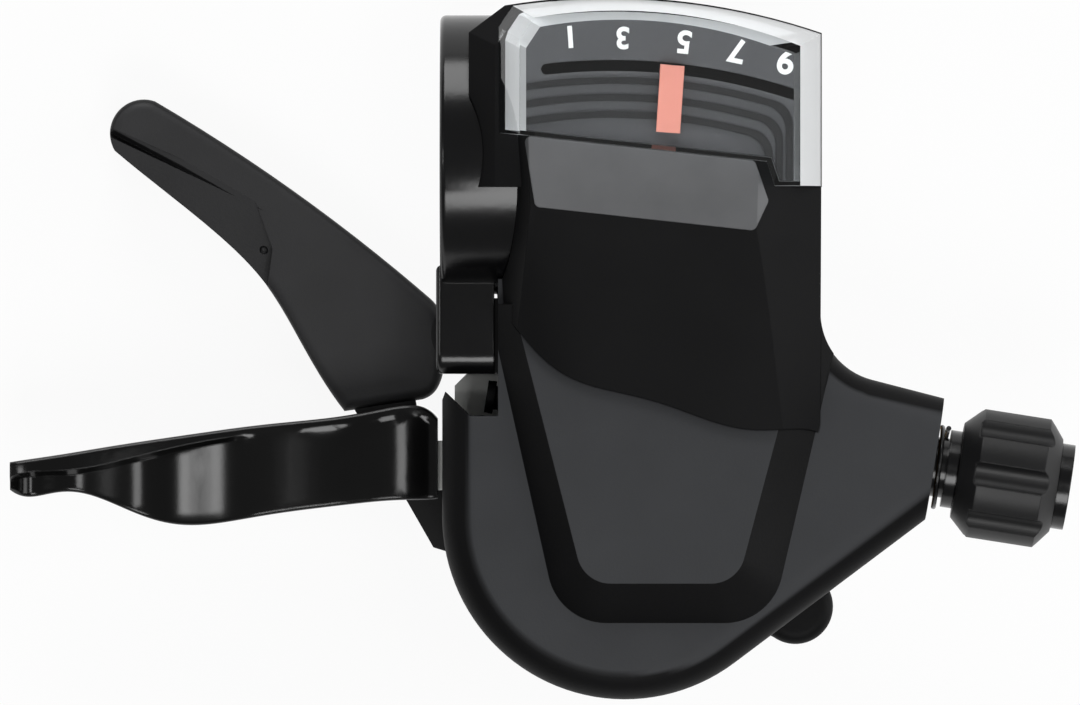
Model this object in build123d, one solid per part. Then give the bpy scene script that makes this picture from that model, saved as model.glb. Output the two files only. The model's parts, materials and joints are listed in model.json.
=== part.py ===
from build123d import *
import os
from math import acos, atan2, cos, degrees, hypot, radians, sin, tan

# Right-hand trigger gear shifter. The origin is the centre of the handlebar clamp bore,
# X runs along the bar towards the cable exit, Y towards the rider and Z up through the dial.

# Clearances
slip = 0.05                      # radial running fit of a piece that turns on a pin
play = 0.1                       # end float of a piece on its pin
gap = 0.3                        # free gap between pieces that move past each other
bar_room = 0.9                   # gap between the bar and what passes over it
over = 1.0                       # how far a cutting body reaches past what it cuts

# Handlebar clamp
bar_d = 22.2
band_wall = 2.9
band_w = 9.0
band_round = 0.6
ear_w = 5.8
ear_reach = 8.0
ear_top = 5.5
ear_bottom = -9.0
ear_round = 2.0
ear_right_x = 0.9
slit_z = -3.0
slit_w = 1.6
flex = 0.8                       # gap that lets the lower ear close
bolt_d = 4.0
bolt_head_d = 7.0
bolt_head_h = 3.0
bolt_hex = 3.0
bolt_edge = 0.4
bolt_floor = 0.6                 # metal left under the socket
bolt_cap = 1.2                   # metal left over the end of the bolt
neck_top = 3.0
neck_off = 0.4                   # gap between the neck and the band
neck_w = 5.1
neck_root = 2.0                  # how far the neck reaches into the upper ear
pad_w = 6.5
pad_t = 2.0
pad_reach = 2.5
pad_screw_in = 2.6               # from the band to the first screw in the pad

# Main axle and the levels of the stack on it
axle_x = 14.0
axle_y = -36.3
axle_d = 6.0
axle_out = 0.5                   # how far the axle stands out of its nut
stub_d = 2.8
stub_in = 0.8                    # how deep the stub starts inside the drum
stub_out = 0.7
clip_t = 0.5
clip_w = 0.8
clip_gap = 1.0
base_top = -5.0
base_t = 2.0
base_in = 0.9                    # how far the base stays inside the cover's outline
tab_in = 1.2                     # the base's tab in the notch: from the cover's left side,
tab_rise = 4.2                   # from the notch towards the bar
tab_cut = 1.2                    # and off its corner
tab_root = 2.0
washer_t = 0.6
thrust_rim = 0.4                 # thrust washer outside the drum's hub
lever_washer_d = 13.0
collar_d = 8.8
collar_t = 0.6
nut_af = 10.0
nut_h = 3.3
nut_edge = 0.7

# Top cover
wall = 1.8
side_room = 0.37                 # gap between the holding pawl's eye and the cover's wall
rim_r = 3.4
shoulder_z = 7.0
shield_z = 10.0
cover_rear_y = -12.2
cover_right_x = 33.5
notch_x = 1.3
notch_y = -26.2
horn_in = 2.8
horn_rise = 2.4
horn_nose = (0.3, 0.8)           # cut off the tip of the horn in X and in Y
shield_rear_y = -15.0
shield_left = (2.8, 9.9)         # x of the shield's left edge at its rear and front
shield_right = (32.6, 25.2)      # x of its right edge at its rear and front
shield_front_y = -42.9
shield_corner = 3.4
shield_slope = (2.5, 4.0, 3.4)   # plan width of the step at the left, front and right

# Cable nose and barrel adjuster
nose_x = 44.9
nose_y = -31.26
nose_z = 1.7
nose_dip = 8.9                   # degrees, the way the barrel drops towards the front
nose_up = 6.9
nose_down = 5.4
nose_slope = 14.5
nose_blend = 7.0
bush_d = 8.4
bush_l = 8.0
thread_d = 6.0
thread_short = 0.6               # from the end of the thread to the end of its bush
cable_d = 1.2
cable_bore_d = 2.0
knob_d = 13.2
knob_l = 10.0
knob_start = 2.5
knob_flare = (1.8, 1.9)          # radius and length of the collar that widens from the nose
knob_chamfer = (1.9, 1.5)        # radius and length of the cone at the outer end
knob_core_d = 7.4
flutes = 8
flute_depth = 0.8
flute_r = 1.4
flute_from = 1.6
ring_d = 8.6
ring_l = 1.3
seat_d = 5.2
seat_l = 8.0
click_d = 7.8
click_t = 0.9
plug_d = 2.4
plug_l = 3.0
plug_out = 0.5
plug_head_d = 3.3
plug_head_h = 0.85
plug_head_off = 0.35             # from the wall to the plug's head
plug_slot = 0.6
plug_slot_depth = 0.4

# Indicator housing, dial and lens
dial_seat_z = 15.3
dial_t = 1.0
lens_top_z = 19.3
lens_wall = 1.3
lens_front_wall = 0.45           # thin wall of the lens along the name plate
lens_draft = 2.1
lens_rear_draft = 0.6            # share of that draft at the rear
lens_left_x = 1.4
lens_front_y = 1.6               # front of the lens at the left end of the name plate
lens_leg = 1.2                   # gap between the name plate's corner and the leg of the lens
lens_flare = 0.8                 # how far the leg moves right towards its foot
lens_cut = (1.4, 2.1)            # corner cut off at the rear left
lens_bow = 0.3                   # fall of the rear edge from its crown to that corner
lens_crown = 2.0                 # from the middle to the crown
seam = 0.1                       # step from the housing's side in to the lens
tower_left_x = -1.6
tower_rear_y = 15.0
tower_corner_y = 11.9
tower_front_y = -3.4
tower_floor_z = 5.0
tower_cut = (3.6, 2.7)           # corner cut off at the rear left
tower_bow = 0.3                  # fall of the rear edge from its crown to that corner
tower_crown = 4.0                # from the middle to the crown
tower_edge = (2.2, 2.6)          # chamfer along the left of the dial
plate_rear_z = 18.7
plate_front_z = 17.4
plate_slant = 6.2                # degrees, the lie of the name plate in plan
plate_front_y = -5.5
plate_t = 0.45
plate_left_x = 5.0
plate_skew = 1.1                 # how far the plate's rear left corner lies further left
plate_right_x = 26.8
plate_tip = (28.2, -4.8)         # end of the fold over the cheek
plate_corner = 0.6
ribs = 3
rib_from = 1.15                  # from the needle's slot to the first rib
rib_pitch = 1.68
rib_squeeze = 1.0                # pitch of the ribs beside the name plate
rib_side = 0.45
rib_w = 0.7
rib_h = 0.35
rib_corner = 2.5
lip = 0.7                        # step of the black panel above the shield
panel_edge = (                   # front edge of the panel, x and y
    (-1.0, -14.2), (3.1, -17.4), (7.5, -21.8), (14.0, -24.0), (20.6, -26.0), (27.0, -27.6), (34.0, -28.4))
panel_left = (-0.7, 9.4, 4.0)    # a point on the panel's left side
panel_run = (2.0, -29.4, 0.0)    # how that side runs towards the front
panel_lean = (7.2, -14.4, 20.0)  # and how it leans in as it climbs
cheeks = (                       # y, top of the upright wall, lean above it
    (4.5, 14.5, 1.44), (-8.3, 12.0, 1.22), (-30.0, 6.2, 0.98))
saddle_t = 1.1
sill = (0.6, 2.0)                # wall under the tower: in front of the cover's rear edge, above its shoulder
dial_room_x = 5.0                # left side of the room under the dial
passage_right_x = 27.8           # right side of the needle's way from the panel into the tower
passage_front = 5.4              # how far that way reaches into the panel
arm_way = (5.0, 11.0, 6.0)       # way for the arm's bend: left, right, and to either side along the arm
arm_room = 1.0                   # height of that way above the shoulder

# Indicator needle
needle_reach = 13.0              # from its pivot to the main axle
needle_lean = 5.9                # degrees from Y at rest
needle_w = 2.4
needle_t = 0.9
needle_eye = 1.2
needle_tail = 2.0
needle_level = 4.4
needle_high = 13.85
needle_swing = 10.35
needle_bend = 0.3                # how much shorter the arm's upper face is at a bend
ramp_foot_y = -23.3688           # where the arm starts to climb, and where it is up
ramp_head_y = -8.0504
fork_w = 5.2                     # widened part of the arm round the crank pin
fork_l = 7.0
fork_slot = 4.4
fork_in = 0.8                    # from the crank pin to the middle of the fork
slot_in = 6.65                   # from the tower's rear edge to the needle's slot
slot_w = 1.1
slot_end = 2.0                   # degrees of slot past the needle's travel
stem_t = 0.6
blade_l = 6.7
blade_t = 0.5
blade_turn = 2.1                 # degrees, the bend of the pointer against its arm
blade_rise = 0.7                 # height of the pointer above the dial
crank_r = 3.16
crank_pin_d = 1.6
crank_room = 0.5
crank_over = 0.2
pivot_d = 2.4
pivot_rim = 0.6
pivot_head_t = 0.5

# Winding drum and ratchet
drum_top = 3.0
drum_disc_t = 2.6
drum_flange_r = 10.5
groove_r = 9.76
groove_fit = 0.6                 # radius of the groove as a share of the cable
hub_d = 9.6
skirt_t = 1.2
skirt_in = 0.2                   # from the root of the teeth in to the skirt
pocket_r = 1.9                   # pocket for the cable's end
pocket_in = 2.0
pocket_angle = 150.0
pocket_floor = 0.6
teeth = 25
tooth_rake = 0.12                # share of the pitch by which the steep face leans
ratchet_tip_r = 11.4
ratchet_root_r = 10.3
ratchet_t = 1.5
ratchet_top = -1.9

# Pawls and their pins
hold_room = 0.3                  # from the teeth's clearance out to the holding pawl's eye
hold_angle = 160.0
hold_tip_angle = 196.0
hold_pin_d = 3.0
hold_pin_out = 1.4
wind_cut = 0.5                   # how much the winding pawl's eye is cut back to clear the teeth
wind_angle = -70.0
wind_tip_angle = -34.0
wind_pin_d = 2.4
wind_pin_out = 1.2
wind_rim = 0.25
pin_rim = 0.7                    # shoulders on the release pivot
pin_head_t = 0.4
pawl_eye = 1.0
pawl_w = 1.44
pawl_back = 0.7                  # share of the eye from which the pawl's inner flank starts
lever_swing = 42.0

# Main lever
lever_t = 1.5
main_lever_top = -13.5
main_hub_r = 9.0
main_hub_arc = (100.0, 265.0)    # degrees, where the arm leaves the hub
main_arm_front = ((-5.3, -39.6), (-14.0, -24.4), (-17.8, -17.4), (-19.8, -10.4), (-22.0, -4.5))
main_arm_rear = ((-19.0, -5.0), (-9.0, -14.5), (-7.0, -25.2), (-5.2, -31.8))
lug_arc = (-60.0, 50.0)          # degrees to either side of the winding pawl's pin
lug_half = 2.3
lug_out = 0.75
lug_eye = 1.3
main_cap_top = -12.6
main_cap_t = 5.2
main_cap_round = 1.2
main_cap_rear = ((-33.5, 5.6), (-26.2, 1.1), (-13.4, -8.0), (-5.6, -14.4))
main_cap_heel = ((-4.1, -19.2), (-4.6, -22.8), (-6.4, -24.6))
main_cap_front = ((-14.3, -25.8), (-18.8, -18.7), (-22.4, -12.8), (-27.5, -7.6), (-37.6, 0.6))
main_cap_tip = (-37.4, 4.4)
main_pad_drop = 3.6
main_pad_x = (-31.0, -22.0)      # where the deeper tip starts to slope up, and where it ends
facet_plan = (
    (-42.0, 5.0), (-37.3, 2.6), (-30.5, -0.4), (-23.3, -4.6), (-21.6, -9.4), (-22.5, -16.0), (-42.0, -4.0))
facet_at = (-30.5, -0.4)         # a point on the crease of the facet
facet_run = (14.0, -8.1)         # how the crease runs in plan
facet_fall = 6.0                 # fall of the facet over the length of that run

# Release lever
release_t = 1.4
release_top = -7.6
release_bottom = -12.0
release_foot_in = 2.0            # from the lever down to the foot of its pivot
release_eye = 1.4
release_waist = (-4.5, 2.6, 2.4)  # x of the steel lever's waist, its reach to the rear and to the front
release_end = (-20.0, -29.0, -33.6)  # x of its end, y of the end's rear and front
finger_step = 0.5                # plan width of the step from the rim down into the scoop
finger_round = 0.4
finger = (                       # x, rear, front, top, floor of the scoop, rim
    (-4.8, -26.5, -34.6, -5.6, -5.7, 0.8), (-6.5, -25.3, -34.7, -5.6, -5.7, 0.8),
    (-14.0, -26.2, -35.2, -5.5, -5.6, 0.8), (-23.5, -27.25, -36.5, -5.4, -5.5, 0.8),
    (-28.0, -27.85, -37.2, -5.3, -7.0, 0.9), (-32.5, -28.5, -37.0, -5.2, -8.9, 1.2),
    (-36.5, -29.1, -35.6, -4.9, -8.6, 1.6), (-42.0, -30.0, -33.9, -4.6, -6.8, 1.7),
    (-47.9, -30.9, -33.7, -4.4, -5.2, 1.5))

# Lower cover
lower_room = 0.5                 # from the winding pin's lane out to the lower cover's wall
lower_wall = 1.5
lower_floor_t = 1.4
lower_depth = 6.0
lower_round = 1.0
collar_room = 1.0
release_way = (3.4, 6.5, 9.0)    # opening for the release lever: right, front and rear of its pivot
boss_x = 31.2
boss_y = -45.4
boss_r = 3.8
boss_rise = 2.6
boss_in = 0.5                    # how far the base stays inside the boss

# Small screws
screw_d = 2.5
screw_head_d = 4.4
screw_head_h = 1.4
screw_round = 0.6
screw_l = 6.0
screw_boss = 0.95                # wall round a screw in the covers
cross_l = 2.8
cross_w = 0.6
cross_depth = 0.8
side_screw_angle = 222.0         # about the axle, just outside the ratchet
nose_screw = (34.2, -38.0)
rear_screw = (30.0, -17.2)
lower_screw_r = 12.6
lower_screw_angles = (256.0, 80.0)
lower_screw_out = 1.2            # how far the lower cover's screws stand above the base

# Springs
wound = 1.12                     # pitch of a close-wound coil, in wires
open_wound = 1.3                 # pitch of the adjuster's coil
lever_spring_wire = 1.0
lever_spring_out = 1.6           # from the collar out to the lever's spring
drum_spring_wire = 0.8
drum_spring_out = 2.0            # from the hub out to the drum's spring
small_wire = 0.5
pawl_spring_up = 0.15            # from a pawl up to its spring
release_spring_up = 0.5          # from the pivot's foot up to the release lever's spring

# Worked out from the sizes above
bar_r = bar_d / 2
band_r = bar_r + band_wall
saddle_r = bar_r + bar_room
ring_room = band_r + gap
axle_r = axle_d / 2
base_bottom = base_top - base_t
hold_r = ratchet_tip_r + gap + hold_pin_d / 2 + pawl_eye + hold_room
wind_r = ratchet_tip_r + gap + wind_pin_d / 2 + pawl_eye - wind_cut
side_screw_r = ratchet_tip_r + gap + screw_d / 2 + screw_boss
lower_r = wind_r + wind_pin_d / 2 + gap + lower_room + lower_wall
housing_r = -hold_r * cos(radians(hold_angle)) + hold_pin_d / 2 + pawl_eye + side_room + wall
left_x = axle_x - housing_r
dip = radians(nose_dip)
along = Vector(cos(dip), -sin(dip), 0)
across = Vector(sin(dip), cos(dip), 0)
nose_end = Vector(nose_x, nose_y, nose_z)
knob_end = knob_start + knob_l
plug_start = -(nose_x - notch_x) / cos(dip)
lean = radians(needle_lean)
needle_x = axle_x - needle_reach * sin(lean)
needle_y = axle_y - needle_reach * cos(lean)
needle_slot_r = (tower_rear_y - slot_in - needle_y) / cos(lean)
ramp_from = (ramp_foot_y - needle_y) / cos(lean)
ramp_to = (ramp_head_y - needle_y) / cos(lean)
needle_low = needle_level - needle_t / 2
drum_bottom = base_top + washer_t
disc_low = drum_top - drum_disc_t
ratchet_bottom = ratchet_top - ratchet_t
skirt_r = ratchet_root_r - skirt_in
main_lever_bottom = main_lever_top - lever_t
release_low = release_top - release_t
release_foot = release_low - release_foot_in
lower_bottom = base_bottom - lower_depth
lower_floor = lower_bottom + lower_floor_t


def polar(radius, angle):
    """Point at a radius and an angle in degrees about the main axle."""
    return axle_x + radius * cos(radians(angle)), axle_y + radius * sin(radians(angle))


hold_x, hold_y = polar(hold_r, hold_angle)
wind_x, wind_y = polar(wind_r, wind_angle)
cover_spots = (polar(side_screw_r, side_screw_angle), nose_screw, rear_screw)
lower_spots = ((boss_x, boss_y), *[polar(lower_screw_r, angle) for angle in lower_screw_angles])
bolt_x = ear_right_x - ear_w / 2
bolt_y = -band_r - ear_reach / 2
pad_screw_x = ear_right_x + neck_w + pad_w / 2
pad_spots = ((pad_screw_x, -band_r - pad_screw_in), (pad_screw_x, -band_r - ear_reach))


def block(x0, x1, y0, y1, z0, z1):
    """Box between two corners."""
    return Pos((x0 + x1) / 2, (y0 + y1) / 2, (z0 + z1) / 2) * Box(x1 - x0, y1 - y0, z1 - z0)


def rod(x, y, z0, z1, radius):
    """Upright cylinder."""
    return Pos(x, y, (z0 + z1) / 2) * Cylinder(radius, z1 - z0)


def tube(x, y, z0, z1, outer, inner):
    """Upright tube."""
    return rod(x, y, z0, z1, outer) - rod(x, y, z0, z1, inner)


def prism(plan, z0, z1):
    """Plan shape extruded from one level to another."""
    return extrude(Pos(0, 0, z0) * plan, amount=z1 - z0, dir=(0, 0, 1))


def bar(radius, x0, x1):
    """Cylinder along the handlebar."""
    return Pos((x0 + x1) / 2, 0, 0) * Rot(0, 90, 0) * Cylinder(radius, x1 - x0)


def barrel(radius, start, end):
    """Cylinder on the barrel axis, between two distances from the nose face."""
    plane = Plane(origin=nose_end + along * start, z_dir=along)
    return extrude(plane * Circle(radius), amount=end - start)


def face(*points):
    """Flat face from corner points."""
    return make_face(Polyline(*points, close=True))


def winding(turns, pitch, radius, wire):
    """Coil of wire that climbs along Z."""
    path = Helix(pitch, pitch * turns, radius)
    section = Plane(origin=path @ 0, z_dir=path % 0) * Circle(wire / 2)
    return sweep(section, path=path, is_frenet=True)


def coil(x, y, low, turns, radius, wire):
    """Close-wound spring about an upright axis, standing on a level."""
    return Pos(x, y, low + wire / 2) * winding(turns, wire * wound, radius, wire)


def arc_slot(radius, width, start, end, x, y):
    """Plan of a slot bent round a centre, between two angles in degrees."""
    angles = [radians(a) for a in (start, (start + end) / 2, end)]
    line = ThreePointArc(*[(x + radius * cos(a), y + radius * sin(a)) for a in angles])
    return SlotArc(line, width)


# Plan outlines of the unit
def cover_plan(inset=0.0):
    """Outline of the top cover: round about the axle, with the cable nose and the notch by the clamp."""
    end = nose_end - along * inset
    upper = end + across * (nose_up - inset)
    lower = end - across * (nose_down - inset)
    radius = housing_r - inset
    far = hypot(lower.X - axle_x, lower.Y - axle_y)
    touch = degrees(atan2(lower.Y - axle_y, lower.X - axle_x) - acos(radius / far))
    left = left_x + inset
    right = cover_right_x - inset
    rear = cover_rear_y - inset
    notch = notch_y - inset
    knee = (right, upper.Y + (upper.X - right) * tan(radians(nose_slope)))
    corners = [
        polar(radius, touch), (lower.X, lower.Y), (upper.X, upper.Y), knee,
        (right, rear), (notch_x + inset, rear), (notch_x + inset, notch)]
    if 2 * inset < horn_in:
        tip = notch + horn_rise
        corners += [(left + horn_in - 2 * inset, notch), (left + horn_nose[0], tip), (left, tip - horn_nose[1])]
    else:
        corners += [(left, notch)]
    round_end = ThreePointArc((left, axle_y), polar(radius, (touch - 180) / 2), polar(radius, touch))
    plan = make_face([Polyline(*corners, (left, axle_y)), round_end])
    inner_corner = plan.vertices().sort_by_distance((*knee, 0))[0]
    return fillet(inner_corner, nose_blend + inset)


def shield_plan(grow, inset=0.0):
    """Outline of the raised shield; grow 1 is the foot of its step and grow 0 its top edge."""
    left, front, right = [grow * width - inset for width in shield_slope]
    rear = shield_rear_y - inset
    front_y = shield_front_y - front
    corners = (
        (shield_left[0] - left, rear), (shield_left[1] - left, front_y),
        (shield_right[1] + right, front_y), (shield_right[0] + right, rear))
    plan = face(*corners)
    front_corners = plan.vertices().sort_by(Axis.Y)[:2]
    return fillet(front_corners, shield_corner + grow * shield_slope[0])


def plate_line(y, x):
    """Y at x of a line that lies along the name plate, given its Y at the plate's left end."""
    return y - (x - plate_left_x) * tan(radians(plate_slant))


def panel_section(x, edge_y, sink):
    """Section of the sloping black panel across X, sunk by a wall for its inside."""
    crest_y = plate_line(plate_front_y, x)
    rear = -tower_front_y
    points = (
        (rear, tower_floor_z), (edge_y + sink, tower_floor_z), (edge_y + sink, shield_z + lip - sink),
        (crest_y, plate_front_z - sink), (rear, plate_rear_z - sink))
    return Plane.YZ.offset(x) * face(*points)


def cheek_section(y, knee_z, slope, sink):
    """Section across Y of the space left of the housing's right cheek."""
    high = lens_top_z + over
    right = cover_right_x - sink
    points = ((left_x, 0), (right, 0), (right, knee_z), (right - slope * (high - knee_z), high), (left_x, high))
    return Plane(origin=(0, y, 0), x_dir=(1, 0, 0), z_dir=(0, -1, 0)) * face(*points)


def panel_block(sink):
    """Sloping body of the indicator housing between its two leaning side walls."""
    form = loft([panel_section(x, y, sink) for x, y in panel_edge])
    form &= loft([cheek_section(*cheek, sink) for cheek in cheeks], ruled=True)
    left = Plane(
        origin=(panel_left[0] + sink, panel_left[1], panel_left[2]), x_dir=panel_run,
        z_dir=Vector(panel_run).cross(Vector(panel_lean)))
    return split(form, bisect_by=left, keep=Keep.TOP if left.z_dir.X > 0 else Keep.BOTTOM)


def bar_tunnel(clear, wide):
    """Space kept for the handlebar, wider round the clamp band."""
    reach = 4 * housing_r
    return bar(clear, -reach, reach) + bar(wide, -reach, band_w / 2 + gap)


# Moulded shells
def top_cover(panel):
    """Grey cover: shoulder with a rounded rim, raised shield, cable nose and inner bosses."""
    plan = cover_plan()
    form = prism(plan, base_top, shoulder_z)
    rim = [
        e for e in form.edges().group_by(Axis.Z)[-1]
        if e.center().Y < notch_y - base_in and (e.center() - nose_end).length > nose_down
        or abs(e.center().X - left_x) < seam
        or cover_right_x + base_in < e.center().X < nose_x and e.center().Y > nose_y]
    form = fillet(rim, rim_r)
    shield = loft([Pos(0, 0, shoulder_z) * shield_plan(1), Pos(0, 0, shield_z) * shield_plan(0)], ruled=True)
    form += shield & prism(plan, shoulder_z, shield_z)
    hollow = prism(cover_plan(wall), base_top, shoulder_z - wall)
    hollow += loft([Pos(0, 0, shoulder_z - wall) * shield_plan(1, wall),
                    Pos(0, 0, shield_z - wall) * shield_plan(0, wall)], ruled=True)
    hollow -= barrel(bush_d / 2 + wall, -bush_l - 2 * wall, wall)
    for x, y in cover_spots:
        hollow -= rod(x, y, base_top, shield_z, screw_d / 2 + screw_boss)
    form -= hollow
    form -= panel
    for x, y in cover_spots:
        form -= rod(x, y, base_top, base_top + screw_l, screw_d / 2)
    form -= rod(needle_x, needle_y, base_top, shoulder_z - wall / 2, pivot_d / 2)
    form -= barrel(bush_d / 2, -bush_l, over)
    form -= barrel(cable_bore_d / 2, -bush_l - 4 * wall, over)
    lobe = rod(boss_x, boss_y, base_top, base_top + boss_rise, boss_r)
    form += fillet(lobe.edges().group_by(Axis.Z)[-1], boss_rise / 2) - hollow
    form -= rod(boss_x, boss_y, base_top, base_top + lower_screw_out, screw_d / 2)
    form -= bar_tunnel(saddle_r, ring_room)
    form -= neck(gap)
    form -= plug_shank(slip)
    return form


def indicator_housing(panel, panel_hollow):
    """Black housing: dial tower over the bar, sloping panel in front, hollow for the needle's arm."""
    tower = prism(tower_plan(), tower_floor_z, dial_seat_z)
    left_edge = [e for e in tower.edges().group_by(Axis.Z)[-1] if e.center().X < tower_left_x + tower_cut[0]]
    form = panel + chamfer(left_edge, *tower_edge)
    inner_front = tower_front_y + wall
    room = block(
        dial_room_x, cover_right_x - wall, inner_front, tower_corner_y - wall, tower_floor_z, dial_seat_z)
    room += block(
        dial_room_x, passage_right_x, tower_front_y - passage_front, inner_front, tower_floor_z, dial_seat_z)
    arm_y = needle_y + ramp_from
    arm_left, arm_right, arm_side = arm_way
    room += block(needle_x - arm_left, needle_x + arm_right, arm_y - arm_side, arm_y + arm_side,
                  tower_floor_z, shoulder_z + arm_room)
    hollow = room + panel_hollow
    hollow -= bar_tunnel(saddle_r + saddle_t, ring_room + saddle_t)
    hollow -= block(
        left_x, 2 * housing_r, cover_rear_y - sill[0], tower_rear_y, tower_floor_z, shoulder_z + sill[1])
    form -= hollow
    form -= lens_block()
    form -= bar_tunnel(saddle_r, ring_room)
    return form


def tower_plan():
    """Plan of the dial tower, with its curved rear edge towards the rider."""
    left = tower_left_x
    right = cover_right_x
    corner = (left + tower_cut[0], tower_rear_y - tower_bow)
    side = (left, corner[1] - tower_cut[1])
    crown = ((left + right) / 2 + tower_crown, tower_rear_y)
    rear = ThreePointArc((right, tower_corner_y), crown, corner)
    return make_face([rear, Polyline(corner, side, (left, tower_front_y), (right, tower_front_y), rear @ 0)])


def lens_plan(inset, lean_in, front_in):
    """Plan of the lens, which wraps round the right end of the name plate."""
    left = lens_left_x + inset + lean_in
    right = cover_right_x - seam - inset - lean_in
    back = seam + inset + lean_in * lens_rear_draft
    rear = tower_rear_y - back
    front = lens_front_y - front_in
    foot = tower_front_y + seam - front_in
    leg = plate_right_x + lens_leg - front_in
    corner = (left + lens_cut[0], rear - lens_bow)
    crown = ((left + right) / 2 + lens_crown, rear)
    edge = ThreePointArc((right, tower_corner_y - back), crown, corner)
    outline = Polyline(
        corner, (left, corner[1] - lens_cut[1]), (left, plate_line(front, left)), (leg, plate_line(front, leg)),
        (leg + lens_flare, foot), (right, foot), edge @ 0)
    return make_face([edge, outline])


def lens_block():
    """Outer form of the lens, leaning in towards its top."""
    return loft([Pos(0, 0, dial_seat_z) * lens_plan(0, 0, 0),
                 Pos(0, 0, lens_top_z) * lens_plan(0, lens_draft, 0)], ruled=True)


def indicator_lens():
    """Clear window: a drafted cap with thin walls."""
    ceiling = lens_top_z - lens_wall
    inner_draft = lens_draft * (ceiling - dial_seat_z) / (lens_top_z - dial_seat_z)
    inner = loft([Pos(0, 0, dial_seat_z) * lens_plan(lens_wall, 0, -lens_front_wall),
                  Pos(0, 0, ceiling) * lens_plan(lens_wall, inner_draft, -lens_front_wall)], ruled=True)
    return lens_block() - inner - bar_tunnel(saddle_r, ring_room)


def name_plate(panel):
    """Bare plate on the crest of the panel, in front of the lens, folded over the cheek at its right end."""
    rear = lens_front_y - slip
    front = plate_front_y + seam
    rear_left = plate_left_x - plate_skew
    plan = face(
        (plate_left_x, front), (plate_right_x, plate_line(front, plate_right_x)), plate_tip,
        (plate_right_x, plate_line(rear, plate_right_x)), (rear_left, plate_line(rear, rear_left)))
    plan = fillet(plan.vertices(), plate_corner)
    skin = Pos(0, 0, plate_t) * panel - panel
    return skin & prism(plan, dial_seat_z, lens_top_z + lens_wall)


def rib_edge(reach, right):
    """Plan inside one edge of a rib: an arc about the needle's pivot that turns down beside the name plate."""
    low = tower_front_y - wall
    ends = [(x, needle_y + (reach**2 - (x - needle_x)**2)**0.5) for x in (lens_left_x, right)]
    arc = ThreePointArc(ends[0], (needle_x, needle_y + reach), ends[1])
    plan = make_face([arc, Polyline(ends[1], (right, low), (lens_left_x, low), ends[0])])
    corner = plan.vertices().sort_by_distance((*ends[1], 0))[0]
    return fillet(corner, rib_corner)


def dial_plate():
    """Dial under the lens, with the needle's slot and raised ribs that turn down beside the name plate."""
    plan = lens_plan(lens_wall + slip, lens_draft / 2, -lens_front_wall - slip)
    top = dial_seat_z + dial_t
    form = prism(plan, dial_seat_z, top)
    outer_x = cover_right_x - seam - lens_wall - lens_draft / 2 - rib_side
    for rib in range(ribs):
        reach = needle_slot_r - rib_from - rib * rib_pitch
        right = outer_x - rib * rib_squeeze
        band = rib_edge(reach, right) - rib_edge(reach - rib_w, right - rib_w)
        form += prism(band & plan, top, top + rib_h)
    middle = 90 - needle_lean
    half = needle_swing + slot_end
    slot = arc_slot(needle_slot_r, slot_w, middle - half, middle + half, needle_x, needle_y)
    return form - prism(slot, dial_seat_z, top)


# Indicator needle
def indicator_needle():
    """Long arm that climbs from the drum's crank pin over the bar, with the pointer above the dial."""
    low = needle_low
    up = low + needle_t
    high = needle_high - needle_t / 2
    tip_z = dial_seat_z + dial_t + blade_rise
    stem = needle_slot_r + stem_t / 2
    side = (
        (-needle_tail, low), (ramp_from, low), (ramp_to, high), (stem, high), (stem, tip_z + blade_t),
        (stem - stem_t, tip_z + blade_t), (stem - stem_t, high + needle_t),
        (ramp_to - needle_bend, high + needle_t), (ramp_from - needle_bend, up), (-needle_tail, up))
    form = extrude(Plane.YZ * face(*side), amount=needle_w / 2, both=True)
    blade = block(-needle_w / 2, needle_w / 2, -blade_l, 0, tip_z, tip_z + blade_t)
    form += Pos(0, stem, 0) * Rot(0, 0, blade_turn) * blade
    fork = Pos(0, needle_reach + crank_r - fork_in)
    form += prism(fork * Rectangle(fork_w, fork_l), low, up)
    form += rod(0, 0, low, up, pivot_d / 2 + needle_eye)
    form -= rod(0, 0, low, up, pivot_d / 2 + slip)
    form -= prism(fork * Rectangle(crank_pin_d + crank_room, fork_slot), low, up)
    return Pos(needle_x, needle_y, 0) * Rot(0, 0, -needle_lean) * form


def indicator_pivot():
    """Headed pin under the cover on which the needle's arm swings."""
    seat = needle_low - play
    pin = rod(needle_x, needle_y, seat - pivot_head_t, shoulder_z - wall / 2, pivot_d / 2)
    return pin + rod(needle_x, needle_y, seat - pivot_head_t, seat, pivot_d / 2 + pivot_rim)


# Clamp and base
def neck(room):
    """Arm that joins the clamp's upper ear to the pad under the base."""
    right = ear_right_x + neck_w + room
    front = -band_r - ear_reach - room
    rear = -band_r - neck_off + room
    slit_top = slit_z + slit_w / 2
    upper = block(ear_right_x - neck_root - room, right, front, rear, slit_top - room, neck_top + room)
    return upper + block(ear_right_x + flex - room, right, front, rear, base_bottom - pad_t, neck_top)


def pad(room):
    """Pad of the bracket under the base."""
    return block(
        ear_right_x + flex - room, ear_right_x + neck_w + pad_w + room, -band_r - ear_reach - pad_reach - room,
        -band_r - neck_off + room, base_bottom - pad_t - room, base_bottom)


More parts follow.
